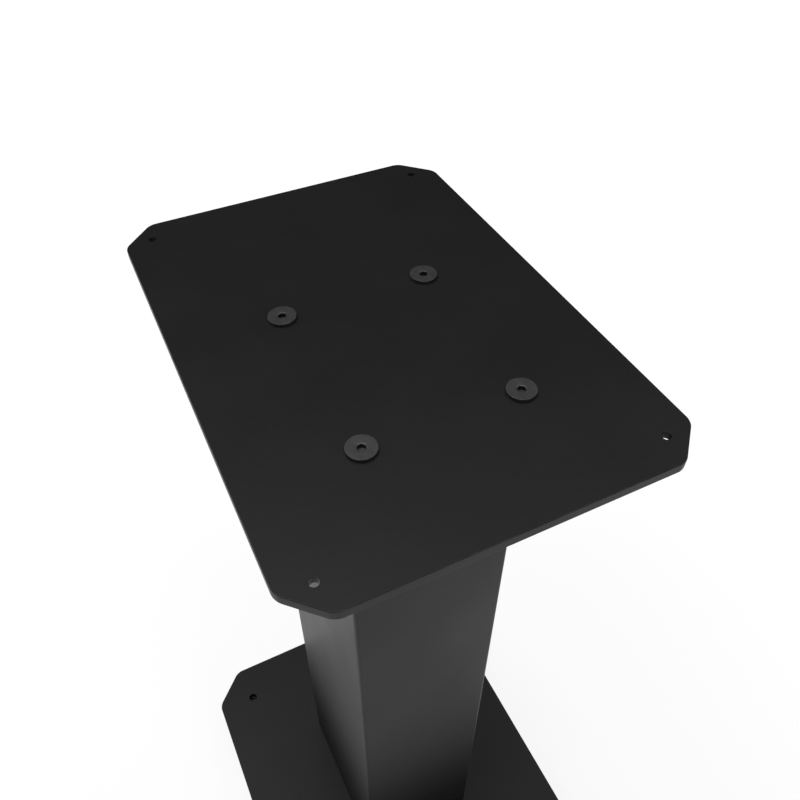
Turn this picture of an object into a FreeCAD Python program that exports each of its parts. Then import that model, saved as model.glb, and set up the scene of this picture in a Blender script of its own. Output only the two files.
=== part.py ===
import FreeCAD, Part
import os
import re
import Sketcher

document = FreeCAD.newDocument("SpeakerStand")

# ---------------------------------------------------------------- sizes, in millimetres
sizes = [
    ("topPlateWidth", 200, "top plate, side to side"),
    ("topPlateDepth", 285, "top plate, front to back"),
    ("topPlateThickness", 5.5, "top plate"),
    ("topCornerClip", 18, "leg of the straight cut across each top plate corner"),
    ("topCornerBlend", 8, "radius that rounds both ends of that cut"),
    ("topHoleDiameter", 4.5, "corner holes that take screws into the speaker"),
    ("topHoleSeat", 1.5, "depth and flare of the countersink under each corner hole"),
    ("topHoleInset", 16, "from the plate's edges to a corner hole's centre"),
    ("plateEdgeRound", 0.5, "radius broken along the upper and lower edges of both plates"),
    ("plateToPlate", 604.5, "clear height between the two plates"),
    ("columnWidth", 101, "column, side to side"),
    ("columnDepth", 147, "column, front to back"),
    ("columnWall", 2, "column's sheet thickness"),
    ("columnInnerRadius", 0.5, "inside radius of the column's folded corners"),
    ("flangeThickness", 8, "plate welded on the column's upper end"),
    ("flangeLip", 12, "how far that plate stands out past the column's sides and back"),
    ("flangeBoltMargin", 12, "from the front bolts' centres to that plate's front edge"),
    ("flangeCornerRadius", 6, "rounded corners of that plate"),
    ("fillHoleDiameter", 30, "hole in that plate for filling the column with sand"),
    ("footPlateThickness", 8, "plate welded inside the column's lower end"),
    ("weldGap", 0.2, "between that plate and the column's inside"),
    ("boltSpacingX", 82, "top plate bolts, side to side"),
    ("boltSpacingY", 100, "top plate bolts, front to back"),
    ("boltSetForward", 24.5, "how far the bolts' middle lies in front of the plate's"),
    ("boltDiameter", 6, "shank of every plate bolt"),
    ("boltHeadDiameter", 15, "flat head"),
    ("boltHeadHeight", 2, "flat head"),
    ("boltHeadChamfer", 0.4, "broken rim of the head"),
    ("boltSocketFlats", 4, "hexagon socket, across its flats"),
    ("boltSocketDepth", 2.8, "hexagon socket"),
    ("topBoltLength", 12, "under the head"),
    ("baseBoltLength", 14, "under the head"),
    ("baseBoltSpacingX", 56, "base plate bolts, side to side"),
    ("baseBoltSpacingY", 96, "base plate bolts, front to back"),
    ("boltHoleClearance", 0.3, "around a bolt where it passes through a plate"),
    ("threadClearance", 0.05, "around a shank in its threaded hole"),
    ("basePlateWidth", 286, "base plate, side to side"),
    ("basePlateDepth", 336, "base plate, front to back"),
    ("basePlateThickness", 8, "base plate"),
    ("baseCornerClip", 29.5, "leg of the straight cut across each base plate corner"),
    ("baseCornerBlend", 12, "radius that rounds both ends of that cut"),
    ("baseHoleInset", 36, "from the plate's edges to a spike's centre"),
    ("spikeDiameter", 8, "threaded shank of a spike"),
    ("spikeEndDepth", 5, "from the base plate's upper face down to a shank's end"),
    ("spikeEndChamfer", 0.8, "broken end of the shank"),
    ("spikeRoom", 4.3, "bare thread between a lock nut and a spike's collar"),
    ("spikeCollarFlats", 12, "hexagon collar, across its flats"),
    ("spikeCollarHeight", 5, "hexagon collar"),
    ("spikeConeDiameter", 10.5, "cone under the collar, at its upper end"),
    ("spikeConeHeight", 14, "cone under the collar"),
    ("spikeTipRadius", 0.6, "blunted point"),
    ("lockNutFlats", 13, "lock nut, across its flats"),
    ("lockNutHeight", 5, "lock nut"),
    ("discDiameter", 24, "disc under a spike's point"),
    ("discHeight", 4.5, "disc under a spike's point"),
    ("discChamfer", 1, "broken upper rim of the disc"),
    ("dimpleDepth", 2.2, "hollow that catches the point"),
    ("dimpleRadius", 2.6, "that hollow, at the disc's upper face"),
    ("tipClearance", 0.1, "between the point and the bottom of its hollow"),
    ("padDiameter", 22, "soft pad glued under a disc"),
    ("padThickness", 1.2, "soft pad glued under a disc"),
]

heights = [
    ("columnCornerRadius", "=columnInnerRadius + columnWall"),
    ("discTop", "=padThickness + discHeight"),
    ("spikeTip", "=discTop - dimpleDepth + tipClearance"),
    ("collarBottom", "=spikeTip + spikeConeHeight"),
    ("collarTop", "=collarBottom + spikeCollarHeight"),
    ("nutBottom", "=collarTop + spikeRoom"),
    ("baseBottom", "=nutBottom + lockNutHeight"),
    ("baseTop", "=baseBottom + basePlateThickness"),
    ("spikeEnd", "=baseTop - spikeEndDepth"),
    ("topPlateBottom", "=baseTop + plateToPlate"),
    ("topPlateTop", "=topPlateBottom + topPlateThickness"),
    ("flangeBottom", "=topPlateBottom - flangeThickness"),
    ("footX", "=basePlateWidth / 2 - baseHoleInset"),
    ("footY", "=basePlateDepth / 2 - baseHoleInset"),
    ("frontBoltReach", "=boltSetForward + boltSpacingY / 2"),
    ("flangeWidth", "=max(columnWidth + 2 * flangeLip; boltSpacingX + 2 * flangeBoltMargin)"),
    ("flangeReach", "=max(columnDepth / 2 + flangeLip; frontBoltReach + flangeBoltMargin)"),
]

sheet = document.addObject("Spreadsheet::Sheet", "Sizes")
for row, (alias, value, note) in enumerate(sizes, start=1):
    sheet.set(f"A{row}", alias)
    sheet.set(f"B{row}", str(value))
    sheet.setAlias(f"B{row}", alias)
    sheet.set(f"C{row}", note)
for row, (alias, formula) in enumerate(heights, start=len(sizes) + 2):
    sheet.set(f"A{row}", alias)
    sheet.set(f"B{row}", formula)
    sheet.setAlias(f"B{row}", alias)
document.recompute()
aliases = {entry[0] for entry in sizes + heights}


# ---------------------------------------------------------------- sketch and feature helpers
def bind(expression):
    """The expression with each name of the sheet pointed at the sheet."""
    return re.sub("[A-Za-z]+", lambda word: f"Sizes.{word[0]}" if word[0] in aliases else word[0],
                  expression)


def numberOf(expression):
    return float(sheet.evalExpression(bind(expression)))


def newBody(name):
    body = document.addObject("PartDesign::Body", name)
    body.Label = name
    return body


def originPlane(body, role):
    return next(plane for plane in body.Origin.OriginFeatures if plane.Role == role)


def attach(feature, body, height="0"):
    feature.AttachmentSupport = [(originPlane(body, "XY_Plane"), "")]
    feature.MapMode = "FlatFace"
    feature.setExpression("AttachmentOffset.Base.z", bind(height))
    return feature


def newSketch(body, name, height="0"):
    return attach(body.newObject("Sketcher::SketchObject", name), body, height)


def setSize(sketch, constraint, expression):
    index = sketch.addConstraint(constraint)
    sketch.setExpression(f"Constraints[{index}]", bind(expression))


def addLoop(sketch, corners, construction=False):
    """Closed run of straight lines through the corners; the first line's index comes back."""
    first = sketch.GeometryCount
    count = len(corners)
    for index in range(count):
        line = Part.LineSegment(corners[index], corners[(index + 1) % count])
        sketch.addGeometry(line, construction)
    for index in range(count):
        following = first + (index + 1) % count
        sketch.addConstraint(Sketcher.Constraint("Coincident", first + index, 2, following, 1))
    return first


def addRectangle(sketch, width, depth, reach, construction=False):
    """Rectangle centred side to side, whose front edge lies the reach in front of the origin."""
    halfWidth = numberOf(width) / 2
    front = -numberOf(reach)
    back = front + numberOf(depth)
    corners = [FreeCAD.Vector(-halfWidth, front), FreeCAD.Vector(halfWidth, front),
               FreeCAD.Vector(halfWidth, back), FreeCAD.Vector(-halfWidth, back)]
    first = addLoop(sketch, corners, construction)
    sketch.addConstraint(Sketcher.Constraint("Vertical", first + 1))
    sketch.addConstraint(Sketcher.Constraint("Horizontal", first + 2))
    sketch.addConstraint(Sketcher.Constraint("Vertical", first + 3))
    sketch.addConstraint(Sketcher.Constraint("Symmetric", first, 1, first, 2, -2))
    setSize(sketch, Sketcher.Constraint("DistanceX", first, 1, first, 2, 2 * halfWidth), width)
    setSize(sketch, Sketcher.Constraint("DistanceY", first + 1, 1, first + 1, 2, back - front), depth)
    setSize(sketch, Sketcher.Constraint("DistanceY", first, 1, -1, 1, -front), reach)
    return first


def addClippedRectangle(sketch, width, depth, clip):
    """Rectangle centred on the origin whose four corners are cut off straight."""
    x = numberOf(width) / 2
    y = numberOf(depth) / 2
    leg = numberOf(clip)
    corners = [FreeCAD.Vector(leg - x, -y), FreeCAD.Vector(x - leg, -y),
               FreeCAD.Vector(x, leg - y), FreeCAD.Vector(x, y - leg),
               FreeCAD.Vector(x - leg, y), FreeCAD.Vector(leg - x, y),
               FreeCAD.Vector(-x, y - leg), FreeCAD.Vector(-x, leg - y)]
    addLoop(sketch, corners)
    for index, direction in ((0, "Horizontal"), (2, "Vertical"), (4, "Horizontal"), (6, "Vertical")):
        sketch.addConstraint(Sketcher.Constraint(direction, index))
    for start, end in (((1, 1), (1, 2)), ((3, 2), (3, 1)), ((5, 2), (5, 1)), ((7, 1), (7, 2))):
        setSize(sketch, Sketcher.Constraint("DistanceX", *start, *end, leg), clip)
    for start, end in (((1, 1), (1, 2)), ((3, 1), (3, 2)), ((5, 2), (5, 1)), ((7, 2), (7, 1))):
        setSize(sketch, Sketcher.Constraint("DistanceY", *start, *end, leg), clip)
    sketch.addConstraint(Sketcher.Constraint("Symmetric", 0, 1, 4, 1, -1, 1))
    setSize(sketch, Sketcher.Constraint("DistanceX", 7, 1, 2, 2, 2 * x), width)
    setSize(sketch, Sketcher.Constraint("DistanceY", 0, 1, 4, 1, 2 * y), depth)


def addCornerCircles(sketch, spacingX, spacingY, reach, diameter):
    """Four circles on the corners of a construction rectangle."""
    first = addRectangle(sketch, spacingX, spacingY, reach, construction=True)
    radius = numberOf(diameter) / 2
    up = FreeCAD.Vector(0, 0, 1)
    for corner in range(4):
        centre = sketch.Geometry[first + corner].StartPoint
        circle = sketch.addGeometry(Part.Circle(centre, up, radius))
        sketch.addConstraint(Sketcher.Constraint("Coincident", circle, 3, first + corner, 1))
        setSize(sketch, Sketcher.Constraint("Diameter", circle, 2 * radius), diameter)


def addCircle(sketch, diameter):
    """Circle on the origin."""
    radius = numberOf(diameter) / 2
    circle = sketch.addGeometry(Part.Circle(FreeCAD.Vector(), FreeCAD.Vector(0, 0, 1), radius))
    sketch.addConstraint(Sketcher.Constraint("Coincident", circle, 3, -1, 1))
    setSize(sketch, Sketcher.Constraint("Diameter", circle, 2 * radius), diameter)


def addPad(body, sketch, name, length, downwards=False):
    pad = body.newObject("PartDesign::Pad", name)
    pad.Profile = sketch
    pad.setExpression("Length", bind(length))
    pad.Reversed = downwards
    return pad


def cutThrough(body, sketch, name):
    """Cuts the sketch upwards from the plane that it lies in, right through."""
    document.recompute()
    uncut = body.Shape.Volume
    pocket = body.newObject("PartDesign::Pocket", name)
    pocket.Profile = sketch
    pocket.Type = "ThroughAll"
    pocket.Reversed = True
    document.recompute()
    if pocket.Shape.Volume >= uncut:
        raise RuntimeError(f"{name} cuts nothing")


def addPrimitive(body, kind, name, height, **dimensions):
    """Cylinder, cone or prism standing on the body's axis, with its lower end at the height."""
    feature = attach(body.newObject(f"PartDesign::{kind}", name), body, height)
    for dimension, expression in dimensions.items():
        feature.setExpression(dimension, bind(expression))
    return feature


def upright(edge):
    start, end = edge.Vertexes[0].Point, edge.Vertexes[-1].Point
    flat = (end - start).cross(FreeCAD.Vector(0, 0, 1)).Length < 1e-6
    return flat and (end - start).Length > 1e-6


def roundEdges(body, base, name, radius, choose):
    """Rounds the edges of the base that the choice picks."""
    document.recompute()
    edges = [f"Edge{index}" for index, edge in enumerate(base.Shape.Edges, start=1) if choose(edge)]
    fillet = body.newObject("PartDesign::Fillet", name)
    fillet.Base = (base, edges)
    fillet.setExpression("Radius", bind(radius))
    return fillet


def breakEdges(body, base, name, size, choose):
    document.recompute()
    edges = [f"Edge{index}" for index, edge in enumerate(base.Shape.Edges, start=1) if choose(edge)]
    chamfer = body.newObject("PartDesign::Chamfer", name)
    chamfer.Base = (base, edges)
    chamfer.setExpression("Size", bind(size))
    return chamfer


def place(feature, x="0", y="0", z="0"):
    feature.setExpression("Placement.Base.x", bind(x))
    feature.setExpression("Placement.Base.y", bind(y))
    feature.setExpression("Placement.Base.z", bind(z))


# ---------------------------------------------------------------- the two plates
def makePlate(name, width, depth, thickness, clip, blend):
    """Flat plate with clipped, blended corners and broken edges, standing on its origin."""
    body = newBody(name)
    outline = newSketch(body, f"{name}_outline")
    addClippedRectangle(outline, width, depth, clip)
    plate = addPad(body, outline, f"{name}_pad", thickness)
    blended = roundEdges(body, plate, f"{name}_blends", blend, upright)
    roundEdges(body, blended, f"{name}_edges", "plateEdgeRound", lambda edge: not upright(edge))
    return body


def makeTopPlate():
    body = makePlate("top_plate", "topPlateWidth", "topPlateDepth", "topPlateThickness",
                     "topCornerClip", "topCornerBlend")
    corners = newSketch(body, "top_corner_holes")
    addCornerCircles(corners, "topPlateWidth - 2 * topHoleInset", "topPlateDepth - 2 * topHoleInset",
                     "topPlateDepth / 2 - topHoleInset", "topHoleDiameter")
    cutThrough(body, corners, "top_corner_cut")
    # screw heads sit in the corner holes from below
    breakEdges(body, body.Tip, "top_corner_seats", "topHoleSeat",
               lambda edge: edge.Closed and abs(edge.Vertexes[0].Z) < 1e-6)
    bolts = newSketch(body, "top_bolt_holes")
    addCornerCircles(bolts, "boltSpacingX", "boltSpacingY", "frontBoltReach",
                     "boltDiameter + 2 * boltHoleClearance")
    cutThrough(body, bolts, "top_bolt_cut")
    place(body, z="topPlateBottom")
    return body


def makeBasePlate():
    body = makePlate("base_plate", "basePlateWidth", "basePlateDepth", "basePlateThickness",
                     "baseCornerClip", "baseCornerBlend")
    spikes = newSketch(body, "spike_holes")
    addCornerCircles(spikes, "2 * footX", "2 * footY", "footY", "spikeDiameter + 2 * threadClearance")
    cutThrough(body, spikes, "spike_cut")
    bolts = newSketch(body, "base_bolt_holes")
    addCornerCircles(bolts, "baseBoltSpacingX", "baseBoltSpacingY", "baseBoltSpacingY / 2",
                     "boltDiameter + 2 * boltHoleClearance")
    cutThrough(body, bolts, "base_bolt_cut")
    place(body, z="baseBottom")
    return body


# ---------------------------------------------------------------- the column and its end plates
def makeColumn():
    """Rectangular tube that stands on the base plate, under the flange."""
    body = newBody("column_tube")
    section = newSketch(body, "column_section")
    addRectangle(section, "columnWidth", "columnDepth", "columnDepth / 2")
    addRectangle(section, "columnWidth - 2 * columnWall", "columnDepth - 2 * columnWall",
                 "columnDepth / 2 - columnWall")
    tube = addPad(body, section, "column_pad", "plateToPlate - flangeThickness")
    outside = numberOf("columnWidth / 2 - columnWall / 2")
    outer = roundEdges(body, tube, "column_outer_corners", "columnCornerRadius",
                       lambda edge: upright(edge) and abs(edge.Vertexes[0].X) > outside)
    roundEdges(body, outer, "column_inner_corners", "columnInnerRadius",
               lambda edge: upright(edge) and abs(edge.Vertexes[0].X) < outside
               and abs(edge.Vertexes[0].Y) < numberOf("columnDepth / 2 - columnWall / 2"))
    place(body, z="baseTop")
    return body


def makeFlange():
    """Plate welded on the column's upper end, wide enough in front to take the front bolts."""
    body = newBody("column_flange")
    outline = newSketch(body, "flange_outline")
    addRectangle(outline, "flangeWidth", "flangeReach + columnDepth / 2 + flangeLip", "flangeReach")
    plate = addPad(body, outline, "flange_pad", "flangeThickness")
    roundEdges(body, plate, "flange_corners", "flangeCornerRadius", upright)
    bolts = newSketch(body, "flange_bolt_holes")
    addCornerCircles(bolts, "boltSpacingX", "boltSpacingY", "frontBoltReach",
                     "boltDiameter + 2 * threadClearance")
    cutThrough(body, bolts, "flange_bolt_cut")
    fill = newSketch(body, "fill_hole")
    addCircle(fill, "fillHoleDiameter")
    cutThrough(body, fill, "fill_cut")
    place(body, z="flangeBottom")
    return body


def makeFootPlate():
    """Plate welded inside the column's lower end, which the base plate's bolts screw into."""
    body = newBody("column_foot_plate")
    outline = newSketch(body, "foot_plate_outline")
    addRectangle(outline, "columnWidth - 2 * (columnWall + weldGap)",
                 "columnDepth - 2 * (columnWall + weldGap)", "columnDepth / 2 - columnWall - weldGap")
    plate = addPad(body, outline, "foot_plate_pad", "footPlateThickness")
    roundEdges(body, plate, "foot_plate_corners", "columnInnerRadius + weldGap", upright)
    bolts = newSketch(body, "foot_plate_bolt_holes")
    addCornerCircles(bolts, "baseBoltSpacingX", "baseBoltSpacingY", "baseBoltSpacingY / 2",
                     "boltDiameter + 2 * threadClearance")
    cutThrough(body, bolts, "foot_plate_bolt_cut")
    place(body, z="baseTop")
    return body


# ---------------------------------------------------------------- bolts
def makeBolt(name, length):
    """Flat-headed bolt: the head stands on the origin and the shank hangs below it."""
    body = newBody(name)
    headCircle = newSketch(body, f"{name}_head_circle")
    addCircle(headCircle, "boltHeadDiameter")
    head = addPad(body, headCircle, f"{name}_head", "boltHeadHeight")
    breakEdges(body, head, f"{name}_rim", "boltHeadChamfer",
               lambda edge: edge.Vertexes[0].Z > numberOf("boltHeadHeight / 2") and edge.Closed)
    shankCircle = newSketch(body, f"{name}_shank_circle")
    addCircle(shankCircle, "boltDiameter")
    addPad(body, shankCircle, f"{name}_shank", length, downwards=True)
    addPrimitive(body, "SubtractivePrism", f"{name}_socket", "boltHeadHeight - boltSocketDepth",
                 Circumradius="boltSocketFlats / sqrt(3)", Height="2 * boltSocketDepth")
    return body


def makeBoltSet(name, length, spacingX, spacingY, reach, z, upsideDown):
    """Four equal bolts on the corners of a rectangle, as one group of separate solids."""
    bolts = []
    for sideX in (-1, 1):
        for row in (0, 1):
            bolt = makeBolt(f"{name}_{len(bolts) + 1}", length)
            place(bolt, x=f"{sideX} * {spacingX} / 2", y=f"{row} * {spacingY} - ({reach})", z=z)
            if upsideDown:
                bolt.setExpression("Placement.Rotation.Axis.x", "1")
                bolt.setExpression("Placement.Rotation.Axis.z", "0")
                bolt.setExpression("Placement.Rotation.Angle", "180")
            bolts.append(bolt)
    group = document.addObject("Part::Compound", name)
    group.Label = name
    group.Links = bolts
    return group


# ---------------------------------------------------------------- spikes, lock nuts, discs, pads
def makeLockNut(name):
    body = newBody(name)
    addPrimitive(body, "AdditivePrism", f"{name}_hexagon", "nutBottom",
                 Circumradius="lockNutFlats / sqrt(3)", Height="lockNutHeight")
    addPrimitive(body, "SubtractiveCylinder", f"{name}_thread", "nutBottom - lockNutHeight",
                 Radius="spikeDiameter / 2 + threadClearance", Height="3 * lockNutHeight")
    return body


def makeSpike(name):
    """Point, cone and hexagon collar, with a threaded shank up through the nut and the plate."""
    body = newBody(name)
    addPrimitive(body, "AdditiveCone", f"{name}_cone", "spikeTip",
                 Radius1="spikeTipRadius", Radius2="spikeConeDiameter / 2", Height="spikeConeHeight")
    addPrimitive(body, "AdditivePrism", f"{name}_collar", "collarBottom",
                 Circumradius="spikeCollarFlats / sqrt(3)", Height="spikeCollarHeight")
    shank = addPrimitive(body, "AdditiveCylinder", f"{name}_shank", "collarTop",
                         Radius="spikeDiameter / 2", Height="spikeEnd - collarTop")
    breakEdges(body, shank, f"{name}_end", "spikeEndChamfer",
               lambda edge: edge.Closed and edge.Vertexes[0].Z > numberOf("baseBottom"))
    return body


def makeDisc(name):
    body = newBody(name)
    disc = addPrimitive(body, "AdditiveCylinder", f"{name}_round", "padThickness",
                        Radius="discDiameter / 2", Height="discHeight")
    breakEdges(body, disc, f"{name}_rim", "discChamfer",
               lambda edge: edge.Closed and edge.Vertexes[0].Z > numberOf("discTop - discHeight / 2"))
    addPrimitive(body, "SubtractiveCone", f"{name}_dimple", "discTop - dimpleDepth",
                 Radius1="spikeTipRadius + tipClearance", Radius2="dimpleRadius", Height="dimpleDepth")
    return body


def makePad(name):
    body = newBody(name)
    addPrimitive(body, "AdditiveCylinder", f"{name}_round", "0",
                 Radius="padDiameter / 2", Height="padThickness")
    return body


subParts = [makeTopPlate(), makeFlange(), makeColumn(), makeFootPlate(), makeBasePlate(),
            makeBoltSet("top_plate_bolts", "topBoltLength", "boltSpacingX", "boltSpacingY",
                        "frontBoltReach", "topPlateTop", upsideDown=False),
            makeBoltSet("base_plate_bolts", "baseBoltLength", "baseBoltSpacingX", "baseBoltSpacingY",
                        "baseBoltSpacingY / 2", "baseBottom", upsideDown=True)]

for rowName, sideY in (("front", -1), ("back", 1)):
    for sideName, sideX in (("left", -1), ("right", 1)):
        corner = f"{rowName}_{sideName}"
        for makePiece, pieceName in ((makeSpike, "spike"), (makeLockNut, "lock_nut"),
                                     (makeDisc, "floor_disc"), (makePad, "disc_pad")):
            piece = makePiece(f"{corner}_{pieceName}")
            place(piece, x=f"{sideX} * footX", y=f"{sideY} * footY")
            subParts.append(piece)

# ---------------------------------------------------------------- checks and files
document.recompute()
for feature in document.Objects:
    if "Invalid" in feature.State or "Error" in feature.State:
        raise RuntimeError(f"{feature.Label} failed: {feature.State}")
for subPart in subParts:
    if subPart.Shape.isNull() or not subPart.Shape.isValid():
        raise RuntimeError(f"{subPart.Label} has no valid shape")

os.makedirs("parts", exist_ok=True)
for subPart in subParts:
    subPart.Shape.exportStep(f"parts/{subPart.Label}.step")
    bounds = subPart.Shape.BoundBox
    print(f"{subPart.Label}: {len(subPart.Shape.Solids)} solid(s), {subPart.Shape.Volume:.0f} mm3,"
          f" z {bounds.ZMin:.2f} to {bounds.ZMax:.2f}")
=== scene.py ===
import math
import bmesh
import bpy
from mathutils import Matrix, Vector


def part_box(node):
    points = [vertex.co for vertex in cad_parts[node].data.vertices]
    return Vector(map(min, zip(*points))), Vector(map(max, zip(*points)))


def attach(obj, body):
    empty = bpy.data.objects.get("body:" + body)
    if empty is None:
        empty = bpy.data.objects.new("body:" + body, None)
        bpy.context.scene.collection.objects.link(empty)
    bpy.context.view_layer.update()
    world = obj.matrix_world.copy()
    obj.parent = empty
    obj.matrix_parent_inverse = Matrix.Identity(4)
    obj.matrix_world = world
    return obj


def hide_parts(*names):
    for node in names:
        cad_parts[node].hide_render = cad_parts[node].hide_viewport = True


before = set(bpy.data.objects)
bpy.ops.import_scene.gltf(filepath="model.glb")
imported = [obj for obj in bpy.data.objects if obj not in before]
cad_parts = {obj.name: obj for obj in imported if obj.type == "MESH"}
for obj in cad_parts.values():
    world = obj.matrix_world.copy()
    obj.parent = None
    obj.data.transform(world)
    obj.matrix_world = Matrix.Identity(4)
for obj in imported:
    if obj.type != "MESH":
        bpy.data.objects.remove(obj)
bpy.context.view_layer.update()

scene = bpy.context.scene
metres = 0.001  # meshes are made in millimetres and scaled once at the end
mergeDistance = 0.0005  # points nearer than this are one point
hardFrom = math.radians(38)  # edges that turn more than this stay hard
rimFrom = math.radians(60)  # edges that turn more than this are rims, and are rounded
flatWithin = 0.01  # faces that turn less than this are one face
upAxis = (0, 0, 1)
wholeTurn = 2 * math.pi

# sets of four alike: where their middle is, and how far they stand from it across and back
speakerHoles = {"middle": (0.0, 0.0), "reach": (84.0, 126.5)}
topBoltHoles = {"middle": (0.0, -24.5), "reach": (41.0, 50.0)}
baseBoltHoles = {"middle": (0.0, 0.0), "reach": (28.0, 48.0)}
feet = {"middle": (0.0, 0.0), "reach": (107.0, 132.0)}
footCorners = {
    "front_left": (-1, -1),
    "front_right": (1, -1),
    "back_left": (-1, 1),
    "back_right": (1, 1),
}


def fourPlaces(group):
    (middleX, middleY), (reachX, reachY) = group["middle"], group["reach"]
    return [(middleX + sideX * reachX, middleY + sideY * reachY)
            for sideX in (-1, 1) for sideY in (-1, 1)]


def fourHoles(group, radius, steps):
    return [(x, y, radius, steps) for x, y in fourPlaces(group)]


def inMetres(pair):
    return (pair[0] * metres, pair[1] * metres, 0.0)


def boxOf(node):
    low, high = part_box(node)
    return low / metres, high / metres


def vertsIn(items):
    return [item for item in items if isinstance(item, bmesh.types.BMVert)]


def openEdgesAmong(verts):
    members = set(verts)
    found = {edge: None for vert in verts for edge in vert.link_edges
             if edge.other_vert(vert) in members and len(edge.link_faces) < 2}
    return list(found)


def flatEdge(edge):
    return abs(edge.verts[0].co.z - edge.verts[1].co.z) < mergeDistance


def moveAll(bm, x, y, z):
    bmesh.ops.translate(bm, vec=(x, y, z), verts=bm.verts[:])


def turnAll(bm, angle, axis):
    bmesh.ops.rotate(bm, cent=(0, 0, 0), matrix=Matrix.Rotation(angle, 3, axis), verts=bm.verts[:])


def roundCorners(bm, corners, width, steps):
    bmesh.ops.bevel(bm, geom=corners, offset=width, offset_type="OFFSET", segments=steps,
                    profile=0.5, affect="VERTICES", material=-1)


def roundEdges(bm, edges, width, steps):
    bmesh.ops.bevel(bm, geom=edges, offset=width, offset_type="OFFSET", segments=steps,
                    profile=0.5, affect="EDGES", material=-1, loop_slide=False,
                    clamp_overlap=False)


# One flat face as wide and deep as the box, at the box's foot.
def newRectangle(low, high):
    bm = bmesh.new()
    bmesh.ops.create_grid(bm, x_segments=1, y_segments=1, size=0.5)
    bmesh.ops.scale(bm, vec=(high.x - low.x, high.y - low.y, 1), verts=bm.verts[:])
    middle = (low + high) / 2
    moveAll(bm, middle.x, middle.y, low.z)
    return bm


def raiseFaces(bm, height):
    raised = bmesh.ops.extrude_face_region(bm, geom=bm.faces[:])["geom"]
    bmesh.ops.translate(bm, vec=(0, 0, height), verts=vertsIn(raised))
    bmesh.ops.recalc_face_normals(bm, faces=bm.faces[:])


# A finished mesh: merged, facing outwards, smooth but for its hard edges, riding on its body.
def finishPiece(name, bm, look, body, nodes=()):
    bmesh.ops.remove_doubles(bm, verts=bm.verts[:], dist=mergeDistance)
    bmesh.ops.recalc_face_normals(bm, faces=bm.faces[:])
    for face in bm.faces:
        face.smooth = True
    for edge in bm.edges:
        edge.smooth = edge.calc_face_angle(math.pi) < hardFrom
    bmesh.ops.scale(bm, vec=(metres, metres, metres), verts=bm.verts[:])
    mesh = bpy.data.meshes.new(name)
    bm.to_mesh(mesh)
    bm.free()
    mesh.materials.append(look)
    piece = bpy.data.objects.new(name, mesh)
    scene.collection.objects.link(piece)
    even = piece.modifiers.new("evenNormals", "WEIGHTED_NORMAL")
    even.keep_sharp = True
    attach(piece, body)
    if nodes:
        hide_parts(*nodes)
    return piece


# The next functions build the shader groups and the finishes.
def newGroup(name, inputs, outputs):
    group = bpy.data.node_groups.new(name, "ShaderNodeTree")
    for socketName, kind, value in inputs:
        socket = group.interface.new_socket(socketName, in_out="INPUT",
                                            socket_type=f"NodeSocket{kind}")
        socket.default_value = value
    for socketName, kind in outputs:
        group.interface.new_socket(socketName, in_out="OUTPUT", socket_type=f"NodeSocket{kind}")
    return group, group.nodes.new("NodeGroupInput"), group.nodes.new("NodeGroupOutput")


def useGroup(tree, group, **sockets):
    node = tree.nodes.new("ShaderNodeGroup")
    node.node_tree = group
    for key, value in sockets.items():
        feed(tree, node.inputs[key], value)
    return node.outputs


def addNode(tree, kind, settings=None, **sockets):
    node = tree.nodes.new(f"ShaderNode{kind}")
    for key, value in (settings or {}).items():
        setattr(node, key, value)
    for key, value in sockets.items():
        feed(tree, node.inputs[key.replace("_", " ")], value)
    return node


def feed(tree, socket, value):
    if isinstance(value, bpy.types.NodeSocket):
        tree.links.new(value, socket)
    else:
        socket.default_value = value


def calculate(tree, operation, first, second=0.0, clamp=False):
    node = addNode(tree, "Math", {"operation": operation, "use_clamp": clamp})
    feed(tree, node.inputs[0], first)
    feed(tree, node.inputs[1], second)
    return node.outputs[0]


def times(tree, first, second, clamp=False):
    return calculate(tree, "MULTIPLY", first, second, clamp)


# Two masks added in the shares given.
def blend(tree, first, firstShare, second, secondShare):
    return calculate(tree, "ADD", times(tree, first, firstShare),
                     times(tree, second, secondShare))


def vectors(tree, operation, first, second=(0.0, 0.0, 0.0)):
    node = addNode(tree, "VectorMath", {"operation": operation})
    feed(tree, node.inputs[0], first)
    feed(tree, node.inputs[1], second)
    return node.outputs[0]


def spread(tree, value, fromLow, fromHigh, toLow=0.0, toHigh=1.0):
    node = addNode(tree, "MapRange", {"interpolation_type": "SMOOTHSTEP"}, Value=value,
                   From_Min=fromLow, From_Max=fromHigh, To_Min=toLow, To_Max=toHigh)
    return node.outputs["Result"]


def noise(tree, point, scale, detail, roughness, dimensions="3D"):
    node = addNode(tree, "TexNoise", {"noise_dimensions": dimensions}, Scale=scale, Detail=detail,
                   Roughness=roughness)
    feed(tree, node.inputs["Vector" if dimensions == "3D" else "W"], point)
    return node.outputs["Fac"]


# A mix node has its mask's socket first, and its colours' after those for numbers and vectors.
def mixColour(tree, mask, first, second):
    node = addNode(tree, "Mix", {"data_type": "RGBA"})
    feed(tree, node.inputs[0], mask)
    feed(tree, node.inputs[6], first)
    feed(tree, node.inputs[7], second)
    return node.outputs[2]


def grey(value, warmth=0.0):
    return (value * (1 + warmth), value, value * (1 - warmth), 1.0)


# sprayed powder: fine grain over a slow orange peel, and a slow drift of tone
coatGrainSizes = {
    "grain": (2.0, 0.5),  # a noise's detail and roughness
    "peel": (2.0, 0.45),
    "drift": (14.0, 2.0, 0.5),  # a noise's scale, detail and roughness
    "grainShare": 0.35,
    "peelShare": 0.65,
    "toneRange": (0.3, 0.7),
    "speckRange": (0.56, 0.78),
}


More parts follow.
